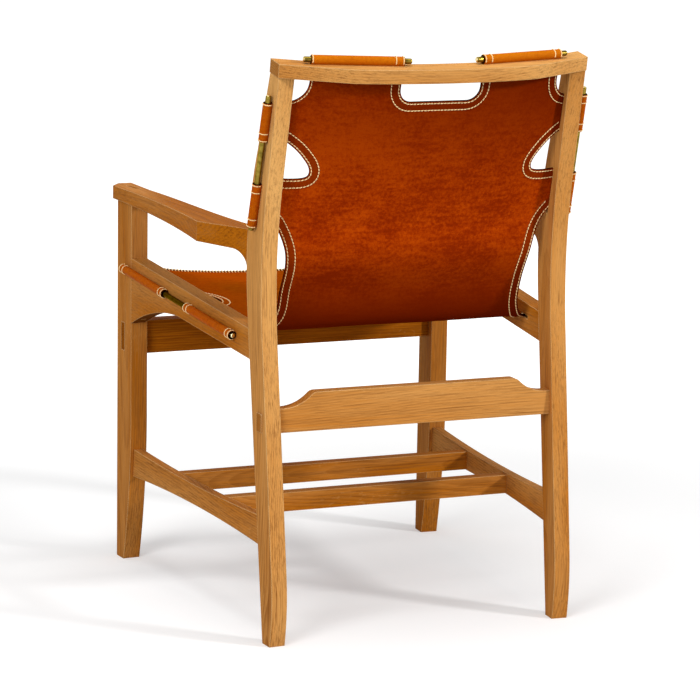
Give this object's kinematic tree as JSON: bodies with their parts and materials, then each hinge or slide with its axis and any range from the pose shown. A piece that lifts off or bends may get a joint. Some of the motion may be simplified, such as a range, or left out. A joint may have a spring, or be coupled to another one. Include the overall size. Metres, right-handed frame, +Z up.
{
  "type": "sling armchair",
  "caption": "Oak open-frame armchair with a leather sling seat and back, laced round brass rods through slots in the posts, side rails and top rail.",
  "frame": {"origin": "on the floor, under the middle of the chair's outer box", "axes": "+Z up, -Y the way the sitter faces, +X towards the sitter's left"},
  "size_m": [0.618, 0.707, 0.9143],
  "materials": {
    "oak": "satin",
    "dowel_wood": "matte",
    "leather": "satin",
    "brass": "polished"
  },
  "bodies": {
    "root": {"arm_left": "oak", "arm_right": "oak", "back_loop_lower_left": "leather", "back_loop_lower_right": "leather", "back_loop_upper_left": "leather", "back_loop_upper_right": "leather", "cross_stretcher_front": "oak", "cross_stretcher_rear": "oak", "front_apron": "oak", "front_leg_left": "oak", "front_leg_right": "oak", "post_rod_left": "brass", "post_rod_right": "brass", "rear_post_left": "oak", "rear_post_right": "oak", "rear_stretcher": "oak", "seat_loop_front_left": "leather", "seat_loop_front_right": "leather", "seat_loop_rear_left": "leather", "seat_loop_rear_right": "leather", "seat_rail_left": "oak", "seat_rail_right": "oak", "seat_rod_left": "brass", "seat_rod_right": "brass", "side_stretcher_left": "oak", "side_stretcher_right": "oak", "sling_sheet": "leather", "top_loop_left": "leather", "top_loop_right": "leather", "top_rail": "oak", "top_rail_dowels": "dowel_wood", "top_rod_left": "brass", "top_rod_right": "brass"}
  },
  "joints": []
}
